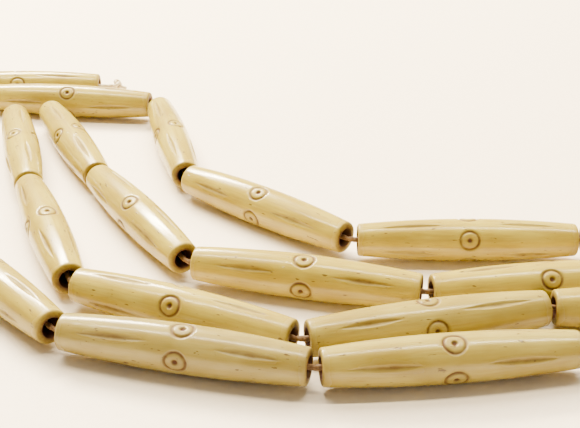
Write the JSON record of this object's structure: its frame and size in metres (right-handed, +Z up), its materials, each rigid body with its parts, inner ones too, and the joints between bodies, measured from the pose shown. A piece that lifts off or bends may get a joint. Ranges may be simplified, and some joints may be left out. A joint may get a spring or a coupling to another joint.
{
  "type": "hank of carved bone hairpipe beads",
  "caption": "Long barrel-shaped carved bone hairpipe beads on several pale strings, gathered in one hank knot and laid side by side on a table.",
  "frame": {"origin": "on the table under the middle of the hank's box", "axes": "+X along the hank, from the folded free ends towards the hank knot; +Z up from the table"},
  "size_m": [0.2204, 0.1234, 0.0075],
  "materials": {
    "bone": "gloss",
    "string": "satin"
  },
  "bodies": {
    "hank": {"hank_knot": "string", "lead_a": "string", "lead_b": "string", "lead_c": "string", "lead_d": "string"},
    "string_a1": {"string_a1": "string"},
    "bead_a1": {"bead_a1": "bone"},
    "string_a2": {"string_a2": "string"},
    "bead_a2": {"bead_a2": "bone"},
    "string_a3": {"string_a3": "string"},
    "bead_a3": {"bead_a3": "bone"},
    "string_a4": {"string_a4": "string"},
    "bead_a4": {"bead_a4": "bone"},
    "string_a5": {"string_a5": "string"},
    "bead_a5": {"bead_a5": "bone"},
    "string_b1": {"string_b1": "string"},
    "bead_b1": {"bead_b1": "bone"},
    "string_b2": {"string_b2": "string"},
    "bead_b2": {"bead_b2": "bone"},
    "string_b3": {"string_b3": "string"},
    "bead_b3": {"bead_b3": "bone"},
    "string_b4": {"string_b4": "string"},
    "bead_b4": {"bead_b4": "bone"},
    "string_b5": {"string_b5": "string"},
    "bead_b5": {"bead_b5": "bone"},
    "string_c1": {"string_c1": "string"},
    "bead_c1": {"bead_c1": "bone"},
    "string_c2": {"string_c2": "string"},
    "bead_c2": {"bead_c2": "bone"},
    "string_c3": {"string_c3": "string"},
    "bead_c3": {"bead_c3": "bone"},
    "string_c4": {"string_c4": "string"},
    "bead_c4": {"bead_c4": "bone"},
    "string_c5": {"string_c5": "string"},
    "bead_c5": {"bead_c5": "bone"},
    "string_d1": {"string_d1": "string"},
    "bead_d1": {"bead_d1": "bone"},
    "string_d2": {"string_d2": "string"},
    "bead_d2": {"bead_d2": "bone"},
    "string_d3": {"string_d3": "string"},
    "bead_d3": {"bead_d3": "bone"},
    "string_d4": {"string_d4": "string"},
    "bead_d4": {"bead_d4": "bone"},
    "string_d5": {"string_d5": "string"},
    "bead_d5": {"bead_d5": "bone"},
    "string_d6": {"string_d6": "string"},
    "bead_d6": {"bead_d6": "bone"},
    "string_d7": {"string_d7": "string"},
    "bead_d7": {"bead_d7": "bone"}
  },
  "joints": [
    {"name": "lift_a1", "type": "hinge", "parent": "hank", "child": "string_a1", "pos_m": [0.06853, -0.02052, 0.00375], "axis": [0, 1, 0], "range_deg": [0, 20]},
    {"name": "spin_a1", "type": "hinge", "parent": "string_a1", "child": "bead_a1", "pos_m": [0.04894, -0.02052, 0.00375], "axis": [-1, 0, 0], "continuous": true},
    {"name": "lift_a2", "type": "hinge", "parent": "string_a1", "child": "string_a2", "pos_m": [0.02935, -0.02052, 0.00375], "axis": [0, 1, 0], "range_deg": [0, 20]},
    {"name": "spin_a2", "type": "hinge", "parent": "string_a2", "child": "bead_a2", "pos_m": [0.00976, -0.02052, 0.00375], "axis": [-1, 0, 0], "continuous": true},
    {"name": "lift_a3", "type": "hinge", "parent": "string_a2", "child": "string_a3", "pos_m": [-0.01042, -0.02052, 0.00375], "axis": [0.6428, 0.766, 0], "range_deg": [0, 20]},
    {"name": "spin_a3", "type": "hinge", "parent": "string_a3", "child": "bead_a3", "pos_m": [-0.02588, -0.00754, 0.00375], "axis": [-0.766, 0.6428, 0], "continuous": true},
    {"name": "lift_a4", "type": "hinge", "parent": "string_a3", "child": "string_a4", "pos_m": [-0.04127, 0.00537, 0.00375], "axis": [0.9703, 0.2419, 0], "range_deg": [0, 20]},
    {"name": "spin_a4", "type": "hinge", "parent": "string_a4", "child": "bead_a4", "pos_m": [-0.04614, 0.02486, 0.00375], "axis": [-0.2419, 0.9703, 0], "continuous": true},
    {"name": "lift_a5", "type": "hinge", "parent": "string_a4", "child": "string_a5", "pos_m": [-0.05121, 0.04521, 0.00375], "axis": [0.1392, 0.9903, 0], "range_deg": [0, 20]},
    {"name": "spin_a5", "type": "hinge", "parent": "string_a5", "child": "bead_a5", "pos_m": [-0.07197, 0.04812, 0.00375], "axis": [-0.9903, 0.1392, 0], "continuous": true},
    {"name": "lift_b1", "type": "hinge", "parent": "hank", "child": "string_b1", "pos_m": [0.07853, -0.02722, 0.00375], "axis": [-0.1564, 0.9877, 0], "range_deg": [0, 20]},
    {"name": "spin_b1", "type": "hinge", "parent": "string_b1", "child": "bead_b1", "pos_m": [0.05918, -0.03028, 0.00375], "axis": [-0.9877, -0.1564, 0], "continuous": true},
    {"name": "lift_b2", "type": "hinge", "parent": "string_b1", "child": "string_b2", "pos_m": [0.03983, -0.03335, 0.00375], "axis": [-0.1219, 0.9925, 0], "range_deg": [0, 20]},
    {"name": "spin_b2", "type": "hinge", "parent": "string_b2", "child": "bead_b2", "pos_m": [0.02038, -0.03573, 0.00375], "axis": [-0.9925, -0.1219, 0], "continuous": true},
    {"name": "lift_b3", "type": "hinge", "parent": "string_b2", "child": "string_b3", "pos_m": [0.00074, -0.03815, 0.00375], "axis": [0.2419, 0.9703, 0], "range_deg": [0, 20]},
    {"name": "spin_b3", "type": "hinge", "parent": "string_b3", "child": "bead_b3", "pos_m": [-0.01847, -0.03336, 0.00375], "axis": [-0.9703, 0.2419, 0], "continuous": true},
    {"name": "lift_b4", "type": "hinge", "parent": "string_b3", "child": "string_b4", "pos_m": [-0.03817, -0.02845, 0.00375], "axis": [0.8572, 0.515, 0], "range_deg": [0, 20]},
    {"name": "spin_b4", "type": "hinge", "parent": "string_b4", "child": "bead_b4", "pos_m": [-0.04863, -0.01104, 0.00375], "axis": [-0.515, 0.8572, 0], "continuous": true},
    {"name": "lift_b5", "type": "hinge", "parent": "string_b4", "child": "string_b5", "pos_m": [-0.05873, 0.00577, 0.00375], "axis": [0.9063, 0.4226, 0], "range_deg": [0, 20]},
    {"name": "spin_b5", "type": "hinge", "parent": "string_b5", "child": "bead_b5", "pos_m": [-0.06701, 0.02354, 0.00375], "axis": [-0.4226, 0.9063, 0], "continuous": true},
    {"name": "lift_c1", "type": "hinge", "parent": "hank", "child": "string_c1", "pos_m": [0.05853, -0.04281, 0.00375], "axis": [0, 1, 0], "range_deg": [0, 20]},
    {"name": "spin_c1", "type": "hinge", "parent": "string_c1", "child": "bead_c1", "pos_m": [0.03894, -0.04281, 0.00375], "axis": [-1, 0, 0], "continuous": true},
    {"name": "lift_c2", "type": "hinge", "parent": "string_c1", "child": "string_c2", "pos_m": [0.01926, -0.04281, 0.00375], "axis": [-0.225, 0.9744, 0], "range_deg": [0, 20]},
    {"name": "spin_c2", "type": "hinge", "parent": "string_c2", "child": "bead_c2", "pos_m": [0.00009, -0.04724, 0.00375], "axis": [-0.9744, -0.225, 0], "continuous": true},
    {"name": "lift_c3", "type": "hinge", "parent": "string_c2", "child": "string_c3", "pos_m": [-0.0195, -0.05177, 0.00375], "axis": [0.4067, 0.9135, 0], "range_deg": [0, 20]},
    {"name": "spin_c3", "type": "hinge", "parent": "string_c3", "child": "bead_c3", "pos_m": [-0.03788, -0.04358, 0.00375], "axis": [-0.9135, 0.4067, 0], "continuous": true},
    {"name": "lift_c4", "type": "hinge", "parent": "string_c3", "child": "string_c4", "pos_m": [-0.0564, -0.03534, 0.00375], "axis": [0.9272, 0.3746, 0], "range_deg": [0, 20]},
    {"name": "spin_c4", "type": "hinge", "parent": "string_c4", "child": "bead_c4", "pos_m": [-0.064, -0.01654, 0.00375], "axis": [-0.3746, 0.9272, 0], "continuous": true},
    {"name": "lift_c5", "type": "hinge", "parent": "string_c4", "child": "string_c5", "pos_m": [-0.07134, 0.00164, 0.00375], "axis": [0.9563, 0.2924, 0], "range_deg": [0, 20]},
    {"name": "spin_c5", "type": "hinge", "parent": "string_c5", "child": "bead_c5", "pos_m": [-0.07708, 0.02039, 0.00375], "axis": [-0.2924, 0.9563, 0], "continuous": true},
    {"name": "lift_d1", "type": "hinge", "parent": "hank", "child": "string_d1", "pos_m": [0.06053, -0.04941, 0.00375], "axis": [-0.1219, 0.9925, 0], "range_deg": [0, 20]},
    {"name": "spin_d1", "type": "hinge", "parent": "string_d1", "child": "bead_d1", "pos_m": [0.04109, -0.0518, 0.00375], "axis": [-0.9925, -0.1219, 0], "continuous": true},
    {"name": "lift_d2", "type": "hinge", "parent": "string_d1", "child": "string_d2", "pos_m": [0.02164, -0.05419, 0.00375], "axis": [-0.1219, 0.9925, 0], "range_deg": [0, 20]},
    {"name": "spin_d2", "type": "hinge", "parent": "string_d2", "child": "bead_d2", "pos_m": [0.0022, -0.05658, 0.00375], "axis": [-0.9925, -0.1219, 0], "continuous": true},
    {"name": "lift_d3", "type": "hinge", "parent": "string_d2", "child": "string_d3", "pos_m": [-0.01745, -0.05899, 0.00375], "axis": [0.2419, 0.9703, 0], "range_deg": [0, 20]},
    {"name": "spin_d3", "type": "hinge", "parent": "string_d3", "child": "bead_d3", "pos_m": [-0.03666, -0.0542, 0.00375], "axis": [-0.9703, 0.2419, 0], "continuous": true},
    {"name": "lift_d4", "type": "hinge", "parent": "string_d3", "child": "string_d4", "pos_m": [-0.05611, -0.04935, 0.00375], "axis": [0.7431, 0.6691, 0], "range_deg": [0, 20]},
    {"name": "spin_d4", "type": "hinge", "parent": "string_d4", "child": "bead_d4", "pos_m": [-0.06952, -0.03445, 0.00375], "axis": [-0.6691, 0.7431, 0], "continuous": true},
    {"name": "lift_d5", "type": "hinge", "parent": "string_d4", "child": "string_d5", "pos_m": [-0.08275, -0.01976, 0.00375], "axis": [0.9272, 0.3746, 0], "range_deg": [0, 20]},
    {"name": "spin_d5", "type": "hinge", "parent": "string_d5", "child": "bead_d5", "pos_m": [-0.09016, -0.00142, 0.00375], "axis": [-0.3746, 0.9272, 0], "continuous": true},
    {"name": "lift_d6", "type": "hinge", "parent": "string_d5", "child": "string_d6", "pos_m": [-0.09751, 0.01677, 0.00375], "axis": [0.9659, 0.2588, 0], "range_deg": [0, 20]},
    {"name": "spin_d6", "type": "hinge", "parent": "string_d6", "child": "bead_d6", "pos_m": [-0.10259, 0.03572, 0.00375], "axis": [-0.2588, 0.9659, 0], "continuous": true},
    {"name": "lift_d7", "type": "hinge", "parent": "string_d6", "child": "string_d7", "pos_m": [-0.10843, 0.05752, 0.00375], "axis": [0.0175, -0.9998, 0], "range_deg": [0, 20]},
    {"name": "spin_d7", "type": "hinge", "parent": "string_d7", "child": "bead_d7", "pos_m": [-0.08586, 0.05792, 0.00375], "axis": [0.9998, 0.0175, 0], "continuous": true}
  ]
}
